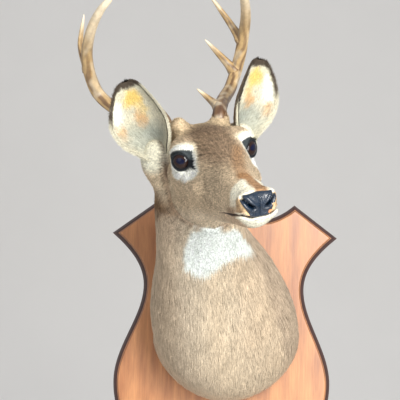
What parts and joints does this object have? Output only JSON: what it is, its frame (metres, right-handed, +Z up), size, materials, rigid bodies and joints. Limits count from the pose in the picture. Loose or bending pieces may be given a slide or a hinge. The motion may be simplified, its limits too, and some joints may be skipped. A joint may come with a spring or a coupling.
{
  "type": "deer shoulder mount",
  "caption": "Life-size still model of a buck's head and neck with hard antlers, turned to its left, on a shield-shaped wooden wall board.",
  "frame": {"origin": "centre of the board's width on its flat back face, at the height where the board's tip and toe are equally far", "axes": "+Y out of the board's back, into the wall; -Y the way the deer looks out from the wall; +Z up; +X towards the right as seen from the front"},
  "size_m": [0.4359, 0.546, 0.8293],
  "materials": {
    "board_wood": "satin reddish-brown varnish",
    "coat": "short flat fur, fawn-grey with a white throat",
    "ear_coat": "short fur, white-cream inside with dark rims",
    "nose_skin": "glossy black, pebbled",
    "eye_glass": "clear gloss over dark brown",
    "antler_bone": "hard antler, browner at the base and paler at the tips"
  },
  "bodies": {
    "root": {"board": "board_wood", "neck": "coat", "shoulders": "coat", "head": "coat", "muzzle": "coat", "lower_jaw": "coat", "nose": "nose_skin", "ear_left": "ear_coat", "ear_right": "ear_coat", "eye_left": "eye_glass", "eye_right": "eye_glass", "antler_left_beam_lower": "antler_bone", "antler_left_beam_middle": "antler_bone", "antler_left_beam_upper": "antler_bone", "antler_left_brow_tine": "antler_bone", "antler_left_second_tine": "antler_bone", "antler_left_third_tine": "antler_bone", "antler_right_beam_lower": "antler_bone", "antler_right_beam_middle": "antler_bone", "antler_right_beam_upper": "antler_bone", "antler_right_brow_tine": "antler_bone", "antler_right_second_tine": "antler_bone"}
  },
  "joints": []
}
